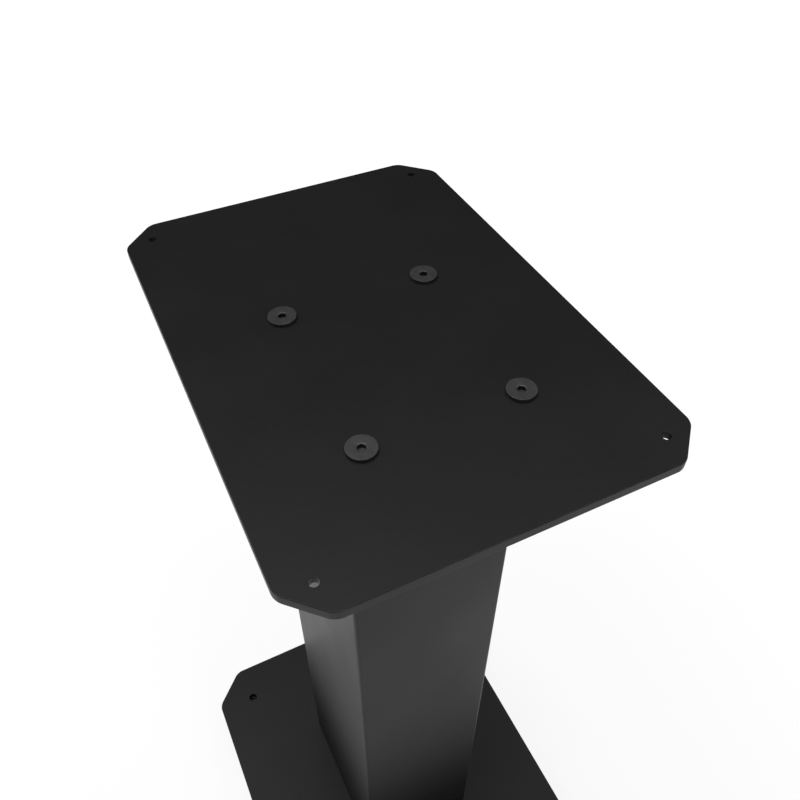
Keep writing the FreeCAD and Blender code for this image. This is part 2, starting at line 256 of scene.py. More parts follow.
def makeCoatGrain():
    group, given, result = newGroup(
        "coatGrain",
        [("Point", "Vector", (0, 0, 0)), ("Grains", "Float", 1.0), ("Peel", "Float", 1.0)],
        [("Height", "Float"), ("Tone", "Float"), ("Specks", "Float")])
    sizes = coatGrainSizes
    point = given.outputs["Point"]
    grain = noise(group, point, given.outputs["Grains"], *sizes["grain"])
    peel = noise(group, point, given.outputs["Peel"], *sizes["peel"])
    drift = noise(group, point, *sizes["drift"])
    height = blend(group, grain, sizes["grainShare"], peel, sizes["peelShare"])
    feed(group, result.inputs["Height"], height)
    feed(group, result.inputs["Tone"], spread(group, drift, *sizes["toneRange"]))
    feed(group, result.inputs["Specks"], spread(group, grain, *sizes["speckRange"]))
    return group


# where a rounded rim faces neither up nor sideways, broken up as handling breaks it up
rimRubSizes = {"patch": (4.0, 0.6), "patchRange": (0.4, 0.68), "rimRange": (0.45, 0.95)}


def makeRimRub():
    group, given, result = newGroup(
        "rimRub",
        [("Point", "Vector", (0, 0, 0)), ("Normal", "Vector", (0, 0, 1)),
         ("Patches", "Float", 1.0)],
        [("Mask", "Float")])
    sizes = rimRubSizes
    parts = addNode(group, "SeparateXYZ", Vector=given.outputs["Normal"])
    rise = calculate(group, "ABSOLUTE", parts.outputs["Z"])
    level = calculate(group, "SQRT",
                      calculate(group, "SUBTRACT", 1.0, times(group, rise, rise), True))
    # the sine of twice the slope: 1 where the surface faces halfway up
    rim = times(group, times(group, rise, level), 2.0, True)
    patches = noise(group, given.outputs["Point"], given.outputs["Patches"], *sizes["patch"])
    mask = times(group, spread(group, rim, *sizes["rimRange"]),
                 spread(group, patches, *sizes["patchRange"]), True)
    feed(group, result.inputs["Mask"], mask)
    return group


# thin dust, only on what faces up
dustSizes = {
    "paintedShadeFade": (0.6, 1.0),
    "broad": (22.0, 5.0, 0.6),
    "broadRange": (0.35, 0.75),
    "broadShare": 0.6,
    "fine": (900.0, 1.0, 0.5),
    "fineRange": (0.5, 0.8),
    "fineShare": 0.4,
}


def makeRestingDust():
    group, given, result = newGroup(
        "restingDust",
        [("Point", "Vector", (0, 0, 0)), ("Normal", "Vector", (0, 0, 1)),
         ("Amount", "Float", 1.0)],
        [("Mask", "Float")])
    sizes = dustSizes
    point = given.outputs["Point"]
    parts = addNode(group, "SeparateXYZ", Vector=given.outputs["Normal"])
    facing = spread(group, parts.outputs["Z"], *sizes["paintedShadeFade"])
    broad = spread(group, noise(group, point, *sizes["broad"]), *sizes["broadRange"])
    fine = spread(group, noise(group, point, *sizes["fine"]), *sizes["fineRange"])
    cover = blend(group, broad, sizes["broadShare"], fine, sizes["fineShare"])
    mask = times(group, times(group, cover, facing), given.outputs["Amount"], True)
    feed(group, result.inputs["Mask"], mask)
    return group


# four pieces that stand symmetrically share one pattern, each about its own axis
def makeAroundAxis():
    group, given, result = newGroup(
        "aroundAxis",
        [("Point", "Vector", (0, 0, 0)), ("Middle", "Vector", (0, 0, 0)),
         ("Reach", "Vector", (0, 0, 0))],
        [("Local", "Vector"), ("Radius", "Float")])
    moved = vectors(group, "SUBTRACT", given.outputs["Point"], given.outputs["Middle"])
    local = vectors(group, "SUBTRACT", vectors(group, "ABSOLUTE", moved), given.outputs["Reach"])
    level = vectors(group, "MULTIPLY", local, (1.0, 1.0, 0.0))
    radius = addNode(group, "VectorMath", {"operation": "LENGTH"}, Vector=level)
    feed(group, result.inputs["Local"], local)
    feed(group, result.inputs["Radius"], radius.outputs["Value"])
    return group


# the lathe's fine rings: they follow the radius on a face and the height on a side
turnedMarkSizes = {"ring": (3.0, 0.7), "smear": (260.0, 3.0, 0.6), "toneRange": (0.3, 0.7)}


def makeTurnedMarks():
    group, given, result = newGroup(
        "turnedMarks",
        [("Local", "Vector", (0, 0, 0)), ("Radius", "Float", 0.0), ("Rings", "Float", 1.0)],
        [("Height", "Float"), ("Tone", "Float")])
    sizes = turnedMarkSizes
    parts = addNode(group, "SeparateXYZ", Vector=given.outputs["Local"])
    along = calculate(group, "ADD", given.outputs["Radius"], parts.outputs["Z"])
    rings = noise(group, along, given.outputs["Rings"], *sizes["ring"], "1D")
    smear = noise(group, given.outputs["Local"], *sizes["smear"])
    feed(group, result.inputs["Height"], rings)
    feed(group, result.inputs["Tone"], spread(group, smear, *sizes["toneRange"]))
    return group


coatGrain = makeCoatGrain()
rimRub = makeRimRub()
restingDust = makeRestingDust()
aroundAxis = makeAroundAxis()
turnedMarks = makeTurnedMarks()


def newFinish(name):
    material = bpy.data.materials.new(name)
    material.use_nodes = True
    tree = material.node_tree
    surface = tree.nodes["Principled BSDF"]
    place = addNode(tree, "TexCoord")
    return material, tree, surface, place.outputs["Object"], place.outputs["Normal"]


def addRelief(tree, surface, strength, distance, height):
    bump = addNode(tree, "Bump", Strength=strength, Distance=distance, Height=height)
    feed(tree, surface.inputs["Normal"], bump.outputs["Normal"])


powderCoat = {
    "colour": 0.0078,
    "paleColour": 0.0084,
    "grains": 1500.0,
    "peel": 320.0,
    "speckColour": 0.018,
    "speckAmount": 0.35,
    "rubColour": 0.05,
    "rubPatches": 90.0,
    "rubAmount": 0.5,
    "dustColour": 0.2,
    "dustWarmth": 0.03,
    "dustAmount": 0.01,
    "roughness": 0.43,
    "roughnessSpread": 0.014,
    "gloss": 0.165,
    "bumpStrength": 0.3,
    "bumpDistance": 0.00025,
}


def makePowderCoat():
    material, tree, surface, point, normal = newFinish("finePowderCoat")
    look = powderCoat
    grain = useGroup(tree, coatGrain, Point=point, Grains=look["grains"], Peel=look["peel"])
    rub = useGroup(tree, rimRub, Point=point, Normal=normal, Patches=look["rubPatches"])
    dust = useGroup(tree, restingDust, Point=point, Normal=normal, Amount=look["dustAmount"])
    base = mixColour(tree, grain["Tone"], grey(look["colour"]), grey(look["paleColour"]))
    specked = mixColour(tree, times(tree, grain["Specks"], look["speckAmount"]), base,
                        grey(look["speckColour"]))
    rubbed = mixColour(tree, times(tree, rub["Mask"], look["rubAmount"]), specked,
                       grey(look["rubColour"]))
    dusty = mixColour(tree, dust["Mask"], rubbed, grey(look["dustColour"], look["dustWarmth"]))
    feed(tree, surface.inputs["Base Color"], dusty)
    low = look["roughness"] - look["roughnessSpread"]
    high = look["roughness"] + look["roughnessSpread"]
    feed(tree, surface.inputs["Roughness"], spread(tree, grain["Tone"], 0.0, 1.0, low, high))
    addRelief(tree, surface, look["bumpStrength"], look["bumpDistance"], grain["Height"])
    surface.inputs["Specular IOR Level"].default_value = look["gloss"]
    return material


# black oxide on smooth steel, a little paler in patches and where a rim was touched; the heads'
# sides and sockets are darkened with painted shade
boltFinish = {
    "colour": 0.037,
    "paleColour": 0.042,
    "paintedShadeColour": 0.022,  # painted shade on the sides of the head and in the socket, where the surface faces sideways
    "paintedShadeFade": (0.35, 0.9),
    "wornColour": 0.13,
    "wornPatches": 420.0,
    "wornAmount": 0.5,
    "metallic": 0.5,
    "roughness": 0.46,
    "roughnessSpread": 0.04,
    "rings": 5200.0,
    "bumpStrength": 0.2,
    "bumpDistance": 0.00003,
}


def makeBoltFinish(name, group):
    material, tree, surface, point, normal = newFinish(name)
    look = boltFinish
    axis = useGroup(tree, aroundAxis, Point=point, Middle=inMetres(group["middle"]),
                    Reach=inMetres(group["reach"]))
    marks = useGroup(tree, turnedMarks, Local=axis["Local"], Radius=axis["Radius"],
                     Rings=look["rings"])
    rub = useGroup(tree, rimRub, Point=point, Normal=normal, Patches=look["wornPatches"])
    parts = addNode(tree, "SeparateXYZ", Vector=normal)
    # painted shade: the more a face turns sideways, the more it takes the dark shade colour
    facing = spread(tree, calculate(tree, "ABSOLUTE", parts.outputs["Z"]), *look["paintedShadeFade"])
    faceTone = mixColour(tree, marks["Tone"], grey(look["colour"]), grey(look["paleColour"]))
    base = mixColour(tree, facing, grey(look["paintedShadeColour"]), faceTone)
    worn = mixColour(tree, times(tree, rub["Mask"], look["wornAmount"]), base,
                     grey(look["wornColour"]))
    feed(tree, surface.inputs["Base Color"], worn)
    surface.inputs["Metallic"].default_value = look["metallic"]
    low = look["roughness"] - look["roughnessSpread"]
    high = look["roughness"] + look["roughnessSpread"]
    feed(tree, surface.inputs["Roughness"], spread(tree, marks["Tone"], 0.0, 1.0, low, high))
    addRelief(tree, surface, look["bumpStrength"], look["bumpDistance"], marks["Height"])
    return material


turnedSteel = {
    "ringRange": (0.35, 0.65),
    "smearShare": 0.6,
    "ringShare": 0.4,
    "warmth": 0.01,
    "roughnessRise": 0.1,  # how much rougher the darkest marks are
    "bumpDistance": 0.00004,
    "spikes": {"colour": 0.035, "darkColour": 0.018, "roughness": 0.36, "rings": 3600.0,
               "bumpStrength": 0.35},
    "discs": {"colour": 0.5, "darkColour": 0.4, "roughness": 0.32, "rings": 3000.0,
              "bumpStrength": 0.5},
}


def makeTurnedSteel(name, look):
    material, tree, surface, point, normal = newFinish(name)
    steel = turnedSteel
    axis = useGroup(tree, aroundAxis, Point=point, Middle=inMetres(feet["middle"]),
                    Reach=inMetres(feet["reach"]))
    marks = useGroup(tree, turnedMarks, Local=axis["Local"], Radius=axis["Radius"],
                     Rings=look["rings"])
    ringTone = spread(tree, marks["Height"], *steel["ringRange"])
    tone = blend(tree, marks["Tone"], steel["smearShare"], ringTone, steel["ringShare"])
    feed(tree, surface.inputs["Base Color"],
         mixColour(tree, tone, grey(look["darkColour"]), grey(look["colour"], steel["warmth"])))
    surface.inputs["Metallic"].default_value = 1.0
    rough = look["roughness"] + steel["roughnessRise"]
    feed(tree, surface.inputs["Roughness"], spread(tree, tone, 0.0, 1.0, rough, look["roughness"]))
    addRelief(tree, surface, look["bumpStrength"], steel["bumpDistance"], marks["Height"])
    return material


nutFinish = {
    "colour": 0.06,
    "paleColour": 0.1,
    "paleWarmth": 0.03,
    "mottle": (520.0, 4.0, 0.6),
    "mottleRange": (0.35, 0.7),
    "wornColour": 0.3,
    "wornPatches": 380.0,
    "metallic": 0.9,
    "roughness": 0.4,
    "roughnessRise": 0.12,
    "pits": (1800.0, 2.0, 0.5),
    "bumpStrength": 0.25,
    "bumpDistance": 0.00004,
}


def makeNutFinish():
    material, tree, surface, point, normal = newFinish("blackenedZinc")
    look = nutFinish
    mottle = spread(tree, noise(tree, point, *look["mottle"]), *look["mottleRange"])
    rub = useGroup(tree, rimRub, Point=point, Normal=normal, Patches=look["wornPatches"])
    base = mixColour(tree, mottle, grey(look["colour"]),
                     grey(look["paleColour"], look["paleWarmth"]))
    feed(tree, surface.inputs["Base Color"],
         mixColour(tree, rub["Mask"], base, grey(look["wornColour"])))
    surface.inputs["Metallic"].default_value = look["metallic"]
    rough = look["roughness"] + look["roughnessRise"]
    feed(tree, surface.inputs["Roughness"],
         spread(tree, mottle, 0.0, 1.0, look["roughness"], rough))
    addRelief(tree, surface, look["bumpStrength"], look["bumpDistance"],
              noise(tree, point, *look["pits"]))
    return material


feltFinish = {
    "colour": 0.02,
    "paleColour": 0.055,
    "flattened": (1.0, 1.0, 3.0),  # fibres lie down, so they're closer together upwards
    "fibres": (1400.0, 5.0, 0.75),
    "clumps": (240.0, 3.0, 0.6),
    "toneRange": (0.35, 0.7),
    "fibreShare": 0.7,
    "clumpShare": 0.3,
    "roughRange": (0.2, 0.8),
    "roughness": (1.0, 0.85),
    "bumpStrength": 0.8,
    "bumpDistance": 0.0002,
}


def makeFeltFinish():
    material, tree, surface, point, normal = newFinish("denseFelt")
    look = feltFinish
    fibres = noise(tree, vectors(tree, "MULTIPLY", point, look["flattened"]), *look["fibres"])
    clumps = noise(tree, point, *look["clumps"])
    mask = blend(tree, spread(tree, fibres, *look["toneRange"]), look["fibreShare"],
                 spread(tree, clumps, *look["toneRange"]), look["clumpShare"])
    feed(tree, surface.inputs["Base Color"],
         mixColour(tree, mask, grey(look["colour"]), grey(look["paleColour"])))
    feed(tree, surface.inputs["Roughness"],
         spread(tree, fibres, *look["roughRange"], *look["roughness"]))
    addRelief(tree, surface, look["bumpStrength"], look["bumpDistance"], fibres)
    return material


coatLook = makePowderCoat()
topBoltLook = makeBoltFinish("blackOxideTop", topBoltHoles)
baseBoltLook = makeBoltFinish("blackOxideBase", baseBoltHoles)
spikeLook = makeTurnedSteel("blackTurnedSteel", turnedSteel["spikes"])
discLook = makeTurnedSteel("satinTurnedSteel", turnedSteel["discs"])
nutLook = makeNutFinish()
feltLook = makeFeltFinish()
print("finishes made")


octagonShare = math.tan(math.radians(22.5))  # what a rounding takes of a clipped corner's sides
plateRims = {
    "seatSteps": 1,
    "holeSteps": 2,
    "outlineSteps": 4,
    "holeReach": 1.0,  # edges this little past a hole's radius are the hole's
}
topPlate = {
    "cornerCut": 18.0,
    "cornerBlend": 8.0 * octagonShare,  # a radius of 8
    "cornerSteps": 6,
    "holes": fourHoles(speakerHoles, 2.25, 40) + fourHoles(topBoltHoles, 3.3, 40),
    "sunkHoles": fourHoles(speakerHoles, 2.25, 40),  # seats for screws that come from below
    "sunkDepth": 1.5,
    "rimRound": 0.5,
    "holeRim": 0.25,
}
basePlate = {
    "cornerCut": 29.5,
    "cornerBlend": 12.0 * octagonShare,  # a radius of 12
    "cornerSteps": 6,
    "holes": fourHoles(feet, 4.05, 48) + fourHoles(baseBoltHoles, 3.3, 40),
    "rimRound": 0.5,
    "holeRim": 0.35,
}
flangePlate = {
    "cornerBlend": 6.0,
    "cornerSteps": 6,
    "holes": fourHoles(topBoltHoles, 3.05, 40) + [(0.0, 0.0, 15.0, 72)],  # the last is for filling
    "rimRound": 0.4,
    "holeRim": 0.3,
}
footPlate = {
    "cornerBlend": 0.7,
    "cornerSteps": 3,
    "holes": fourHoles(baseBoltHoles, 3.05, 40),
    "rimRound": 0.3,
    "holeRim": 0.3,
}


def onHole(edge, holes):
    spot = (edge.verts[0].co + edge.verts[1].co) / 2
    return any(math.hypot(spot.x - x, spot.y - y) < radius + plateRims["holeReach"]
               for x, y, radius, _ in holes)


# An outline with cut or rounded corners, holed, pulled up to its thickness, its rims rounded.
def makePlate(name, plate, node):
    low, high = boxOf(node)
    bm = newRectangle(low, high)
    if "cornerCut" in plate:
        roundCorners(bm, bm.verts[:], plate["cornerCut"], 1)
    roundCorners(bm, bm.verts[:], plate["cornerBlend"], plate["cornerSteps"])
    bmesh.ops.delete(bm, geom=bm.faces[:], context="FACES_ONLY")
    for x, y, radius, steps in plate["holes"]:
        bmesh.ops.create_circle(bm, cap_ends=False, segments=steps, radius=radius,
                                matrix=Matrix.Translation((x, y, low.z)))
    bmesh.ops.triangle_fill(bm, use_beauty=True, use_dissolve=False, edges=bm.edges[:],
                            normal=upAxis)
    bmesh.ops.dissolve_limit(bm, angle_limit=flatWithin, use_dissolve_boundaries=False,
                             verts=bm.verts[:], edges=bm.edges[:], delimit=set())
    raiseFaces(bm, high.z - low.z)
    halfway = (low.z + high.z) / 2

    def onSeat(edge):
        return edge.verts[0].co.z < halfway and onHole(edge, plate.get("sunkHoles", []))

    # screw seats from below, then the holes' own rims, then the outline's
    for choose, width, steps in (
            (onSeat, plate.get("sunkDepth", 0.0), plateRims["seatSteps"]),
            (lambda edge: onHole(edge, plate["holes"]), plate["holeRim"], plateRims["holeSteps"]),
            (lambda edge: not onHole(edge, plate["holes"]), plate["rimRound"],
             plateRims["outlineSteps"])):
        rims = [edge for edge in bm.edges if edge.is_manifold
                and edge.calc_face_angle() > rimFrom and flatEdge(edge) and choose(edge)]
        if rims:
            roundEdges(bm, rims, width, steps)
    finishPiece(name, bm, coatLook, "stand", [node])


makePlate("topPlate", topPlate, "top_plate")
makePlate("basePlate", basePlate, "base_plate")
makePlate("flangePlate", flangePlate, "column_flange")
makePlate("footPlate", footPlate, "column_foot_plate")
print("plates made")


column = {"cornerRadius": 2.5, "cornerSteps": 8, "wall": 2.0, "endRound": 0.35, "endSteps": 3}


def makeColumn():
    low, high = boxOf("column_tube")
    bm = newRectangle(low, high)
    roundCorners(bm, bm.verts[:], column["cornerRadius"], column["cornerSteps"])
    inner = bm.faces[:]
    bmesh.ops.inset_region(bm, faces=inner, thickness=column["wall"], use_even_offset=True,
                           use_boundary=True)
    bmesh.ops.delete(bm, geom=inner, context="FACES_ONLY")
    raiseFaces(bm, high.z - low.z)
    ends = [edge for edge in bm.edges if edge.calc_face_angle() > rimFrom and flatEdge(edge)]
    roundEdges(bm, ends, column["endRound"], column["endSteps"])
    finishPiece("columnTube", bm, coatLook, "stand", ["column_tube"])


makeColumn()


# beads between the column and the flange above it
weldBeads = {
    "leg": 3.6,
    "sink": 0.25,
    "bulge": [(0.86, 0.3), (0.6, 0.62), (0.3, 0.88)],  # shares of the leg, outwards and downwards
    "step": 0.55,
    "fewestSteps": 8,
    "ripple": 2.3,
    "rippleDepth": 0.07,
    "endTaper": 2.4,
    "endStart": 0.4,
    "onFront": [(0.0, 58.0)],  # middle along the wall, length
    "onSides": [(-44.0, 40.0), (44.0, 40.0)],
    "onBack": [(0.0, 58.0)],
}


def beadSize(along, length):
    fromEnd = min(along, length - along)
    taper = math.sqrt(min(1.0, (fromEnd + weldBeads["endStart"]) / weldBeads["endTaper"]))
    wave = abs(math.sin(math.pi * along / weldBeads["ripple"]))
    return taper * (1 - weldBeads["rippleDepth"] * wave)


def addBead(bm, middle, length, turn, wallDistance, top):
    before = set(bm.verts)
    leg, sink = weldBeads["leg"], weldBeads["sink"]
    # section across the bead: up the wall, into the corner, out under the plate, back on a bulge
    section = [(-sink, -leg), (-sink, sink), (leg, sink)]
    section += [(leg * outwards, -leg * downwards) for outwards, downwards in weldBeads["bulge"]]
    ring = [bm.verts.new((0, across, up)) for across, up in section]
    face = bm.faces.new(ring)
    steps = max(weldBeads["fewestSteps"], round(length / weldBeads["step"]))
    sizes = [beadSize(step / steps * length, length) for step in range(steps + 1)]
    bmesh.ops.scale(bm, vec=(1, sizes[0], sizes[0]), verts=ring)
    inside = []
    for step in range(1, steps + 1):
        region = bmesh.ops.extrude_face_region(bm, geom=[face])["geom"]
        fresh = vertsIn(region)
        if step > 1:
            inside.append(face)
        face = next(item for item in region if isinstance(item, bmesh.types.BMFace))
        bmesh.ops.translate(bm, vec=(length / steps, 0, 0), verts=fresh)
        ratio = sizes[step] / sizes[step - 1]
        bmesh.ops.scale(bm, vec=(1, ratio, ratio), verts=fresh)
    bmesh.ops.delete(bm, geom=inside, context="FACES_ONLY")
    made = [vert for vert in bm.verts if vert not in before]
    bmesh.ops.translate(bm, vec=(middle - length / 2, wallDistance, top), verts=made)
    bmesh.ops.rotate(bm, cent=(0, 0, 0), matrix=Matrix.Rotation(turn, 3, "Z"), verts=made)


def makeWelds():
    high = boxOf("column_tube")[1]
    bm = bmesh.new()
    for beads, turn, distance in (("onFront", math.pi, high.y), ("onBack", 0.0, high.y),
                                  ("onSides", math.pi / 2, high.x),
                                  ("onSides", -math.pi / 2, high.x)):
        for middle, length in weldBeads[beads]:
            addBead(bm, middle, length, turn, distance, high.z)
    finishPiece("flangeWelds", bm, coatLook, "stand")


makeWelds()
print("column and welds made")


# turned and milled pieces grow from a round loop, one loop after another
loopSteps = 48
chamferSlope = math.tan(math.radians(30))
sixth = math.radians(60)


def roundLoop(bm, radius, height):
    return bmesh.ops.create_circle(bm, cap_ends=False, segments=loopSteps, radius=radius,
                                   matrix=Matrix.Translation((0, 0, height)))["verts"]


# The last loop's edges pulled on to a new radius and height.
def pullLoop(bm, loop, radius, height):
    fresh = vertsIn(bmesh.ops.extrude_edge_only(bm, edges=openEdgesAmong(loop))["geom"])
    for vert in fresh:
        vert.co.xy = vert.co.xy.normalized() * radius
        vert.co.z = height
    return fresh


# The same, out to six flat sides, whose corners fall away from the height by the chamfer's slope.
def pullHexagon(bm, loop, flats, height, chamferRadius=None, downwards=1):
    fresh = pullLoop(bm, loop, flats / 2, height)
    for vert in fresh:
        fromMiddle = math.atan2(vert.co.y, vert.co.x) % sixth - sixth / 2
        vert.co.xy /= math.cos(fromMiddle)
        if chamferRadius:
            past = max(0.0, vert.co.xy.length - chamferRadius)
            vert.co.z -= downwards * past * chamferSlope
    return fresh


def joinLoops(bm, first, second):
    bmesh.ops.bridge_loops(bm, edges=openEdgesAmong(first) + openEdgesAmong(second))


threadShape = {
    # whether the point is at the crest, and its rise in pitches
    "ridge": [(False, 0.0), (True, 0.3125), (True, 0.4375), (False, 0.75), (False, 1.0)],
    "startTurns": 2,  # the sweep starts this far below the lower end
    "moreTurns": 3,  # and has this many more than the length needs, so it passes the upper end
}


# One ridge swept up a helix, cut off level at both ends and run out to its root there.
def cutThread(bm, thread, low, high):
    crest, pitch, steps = thread["radius"], thread["pitch"], thread["steps"]
    root = crest - thread["depth"]
    start = threadShape["startTurns"]
    points = [bm.verts.new((crest if atCrest else root, 0, low + (rise - start) * pitch))
              for atCrest, rise in threadShape["ridge"]]
    lines = [bm.edges.new(pair) for pair in zip(points, points[1:])]
    turns = math.ceil((high - low) / pitch) + threadShape["moreTurns"]
    bmesh.ops.spin(bm, geom=points + lines, cent=(0, 0, 0), axis=upAxis,
                   dvec=(0, 0, pitch / steps), angle=wholeTurn * turns, steps=steps * turns,
                   use_merge=False, use_duplicate=False)
    bmesh.ops.remove_doubles(bm, verts=bm.verts[:], dist=mergeDistance)
    for height, side in ((low, 1), (high, -1)):
        bmesh.ops.bisect_plane(bm, geom=bm.verts[:] + bm.edges[:] + bm.faces[:],
                               plane_co=(0, 0, height), plane_no=(0, 0, side), clear_inner=True)
    for vert in bm.verts:
        radius = math.hypot(vert.co.x, vert.co.y)
        allowed = root + min(vert.co.z - low, high - vert.co.z)
        if radius > allowed:
            vert.co.x *= allowed / radius
            vert.co.y *= allowed / radius
    return [[vert for vert in bm.verts if abs(vert.co.z - height) < mergeDistance]
            for height in (low, high)]


hexSocket = {"flats": 4.0, "flareDepth": 0.3, "drillTip": 0.4}  # one key fits bolts and spikes


def sinkSocket(bm, loop, top, flare, depth):
    loop = pullLoop(bm, loop, flare, top)
    for below in (hexSocket["flareDepth"], depth):
        loop = pullHexagon(bm, loop, hexSocket["flats"], top - below)
    pullLoop(bm, loop, 0.0, top - depth - hexSocket["drillTip"])


# flat heads with hexagon sockets
bolts = {
    "topLength": 12.0,  # under the head
    "baseLength": 14.0,
    "headRadius": 7.5,
    "headHeight": 2.0,
    "rimRound": [(0.0, 0.16), (0.02, 0.08), (0.08, 0.02), (0.16, 0.0)],  # inwards, downwards
    "seatBreak": 0.2,
    "socketFlare": 2.8,
    "socketDepth": 2.8,
    "neckRadius": 2.95,
    "neckLength": 1.3,
    "threadRunOut": 0.5,
    "thread": {"radius": 2.97, "pitch": 1.0, "depth": 0.6, "steps": 24},
    "turns": [12, 41, 27, 3],  # how far each was screwed in, in degrees
}


def shapeBolt(length):
    bm = bmesh.new()
    top = bolts["headHeight"]
    threadTop = -bolts["neckLength"]
    end, start = cutThread(bm, bolts["thread"], -length, threadTop)
    bmesh.ops.contextual_create(bm, geom=openEdgesAmong(end))
    loop = roundLoop(bm, bolts["neckRadius"], threadTop + bolts["threadRunOut"])
    joinLoops(bm, start, loop)
    edge = bolts["headRadius"]
    outline = [(bolts["neckRadius"], 0), (edge - bolts["seatBreak"], 0),
               (edge, bolts["seatBreak"])]
    outline += [(edge - inwards, top - downwards) for inwards, downwards in bolts["rimRound"]]
    for radius, height in outline:
        loop = pullLoop(bm, loop, radius, height)
    sinkSocket(bm, loop, top, bolts["socketFlare"], bolts["socketDepth"])
    return bm


def makeBolts(name, length, group, height, upsideDown, look, node):
    shape = shapeBolt(length)
    for index, (x, y) in enumerate(fourPlaces(group)):
        bm = shape.copy()
        turnAll(bm, math.radians(bolts["turns"][index]), "Z")
        if upsideDown:
            turnAll(bm, math.pi, "X")
        moveAll(bm, x, y, height)
        finishPiece(f"{name}{index + 1}", bm, look, "stand", [node])
    shape.free()


makeBolts("topBolt", bolts["topLength"], topBoltHoles, boxOf("top_plate")[1].z, False,
          topBoltLook, "top_plate_bolts")
makeBolts("baseBolt", bolts["baseLength"], baseBoltHoles, boxOf("base_plate")[0].z, True,
          baseBoltLook, "base_plate_bolts")
print("bolts made")


spike = {
    "tip": [(0.38, 0.0), (0.6, 0.1), (0.72, 0.36)],  # radius, height above the point
    "coneTop": (5.25, 14.0),
    "collarFlats": 12.0,
    "collarChamfer": 5.75,
    "collarHeight": 5.0,
    "neckRadius": 3.2,
    "neckHeight": 0.9,
    "neckBlend": 0.2,
    "endBevel": 0.4,
    "socketFlare": 2.55,
    "socketDepth": 4.5,
    "thread": {"radius": 3.98, "pitch": 1.25, "depth": 0.75, "steps": 32},
}


def shapeSpike(node):
    low, high = boxOf(node)
    bm = bmesh.new()
    coneRadius, coneHeight = spike["coneTop"]
    collarBottom = low.z + coneHeight
    collarTop = collarBottom + spike["collarHeight"]
    flats, chamfer = spike["collarFlats"], spike["collarChamfer"]
    neck, blended = spike["neckRadius"], spike["neckBlend"]
    start, end = cutThread(bm, spike["thread"], collarTop + spike["neckHeight"],
                           high.z - spike["endBevel"])
    loop = roundLoop(bm, neck - spike["endBevel"], high.z)
    joinLoops(bm, end, loop)
    sinkSocket(bm, loop, high.z, spike["socketFlare"], spike["socketDepth"])
    loop = roundLoop(bm, neck, collarTop + blended)
    joinLoops(bm, start, loop)
    loop = pullLoop(bm, loop, neck + blended, collarTop)
    loop = pullLoop(bm, loop, chamfer, collarTop)
    loop = pullHexagon(bm, loop, flats, collarTop, chamfer)
    loop = pullHexagon(bm, loop, flats, collarBottom, chamfer, -1)
    loop = pullLoop(bm, loop, chamfer, collarBottom)
    loop = pullLoop(bm, loop, coneRadius, collarBottom)
    for radius, height in reversed(spike["tip"]):
        loop = pullLoop(bm, loop, radius, low.z + height)
    pullLoop(bm, loop, 0.0, low.z)
    return bm


def makeSpike(name, body, node, x, y):
    bm = spikeShape.copy()
    moveAll(bm, x, y, 0.0)
    finishPiece(name, bm, spikeLook, body, [node])


lockNut = {"flats": 13.0, "chamferRadius": 6.15, "bore": 4.05, "boreFlare": 4.6, "flareDepth": 0.5}


def makeLockNut(name, node, x, y):
    low, high = boxOf(node)
    bm = bmesh.new()
    flats, chamfer = lockNut["flats"], lockNut["chamferRadius"]
    bore, flare, flareDepth = lockNut["bore"], lockNut["boreFlare"], lockNut["flareDepth"]
    first = roundLoop(bm, flare, high.z)
    loop = pullLoop(bm, first, chamfer, high.z)
    loop = pullHexagon(bm, loop, flats, high.z, chamfer)
    loop = pullHexagon(bm, loop, flats, low.z, chamfer, -1)
    for radius, height in ((chamfer, low.z), (flare, low.z), (bore, low.z + flareDepth),
                           (bore, high.z - flareDepth)):
        loop = pullLoop(bm, loop, radius, height)
    joinLoops(bm, loop, first)
    moveAll(bm, x, y, 0.0)
    finishPiece(name, bm, nutLook, "stand", [node])


def turnProfile(bm, shape):
    profile = shape["profile"]
    corners = [bm.verts.new((radius, 0, height)) for radius, height, _ in profile]
    for pair in zip(corners, corners[1:]):
        bm.edges.new(pair)
    for corner, (*_, rounding) in zip(corners, profile):
        if rounding:
            roundCorners(bm, [corner], rounding, shape["roundSteps"])
    bmesh.ops.spin(bm, geom=bm.verts[:] + bm.edges[:], cent=(0, 0, 0), axis=upAxis,
                   dvec=(0, 0, 0), angle=wholeTurn, steps=shape["steps"], use_merge=True,
                   use_duplicate=False)
    bmesh.ops.remove_doubles(bm, verts=bm.verts[:], dist=mergeDistance)


floorDisc = {
    # radius, height above the disc's lower face, and how far that corner is rounded
    "profile": [(0.0, 2.3, 0.0), (0.7, 2.3, 0.0), (2.6, 4.5, 0.12), (11.0, 4.5, 0.25),
                (12.0, 3.5, 0.25), (12.0, 0.0, 0.2), (0.0, 0.0, 0.0)],
    "roundSteps": 3,
    "steps": 96,
}


def makeFloorDisc(name, body, node, x, y):
    bm = bmesh.new()
    turnProfile(bm, floorDisc)
    moveAll(bm, x, y, boxOf(node)[0].z)
    finishPiece(name, bm, discLook, body, [node])


discPad = {
    "profile": [(0.0, 1.2, 0.0), (11.0, 1.2, 0.3), (11.0, 0.0, 0.3), (0.0, 0.0, 0.0)],
    "roundSteps": 3,
    "steps": 96,
    "fray": 0.05,
    "frayFrom": 1.0,  # the radius inside which nothing frays
    "frayTurn": 2.39996,  # from one point to the next, so that neighbours differ
}


def makeDiscPad(name, body, node, x, y):
    bm = bmesh.new()
    turnProfile(bm, discPad)
    for index, vert in enumerate(bm.verts):
        radius = math.hypot(vert.co.x, vert.co.y)
        if radius > discPad["frayFrom"]:
            share = 0.5 + 0.5 * math.sin(index * discPad["frayTurn"])
            drawnIn = 1 - discPad["fray"] / radius * share
            vert.co.x *= drawnIn
            vert.co.y *= drawnIn
    moveAll(bm, x, y, boxOf(node)[0].z)
    pad = finishPiece(name, bm, feltLook, body, [node])


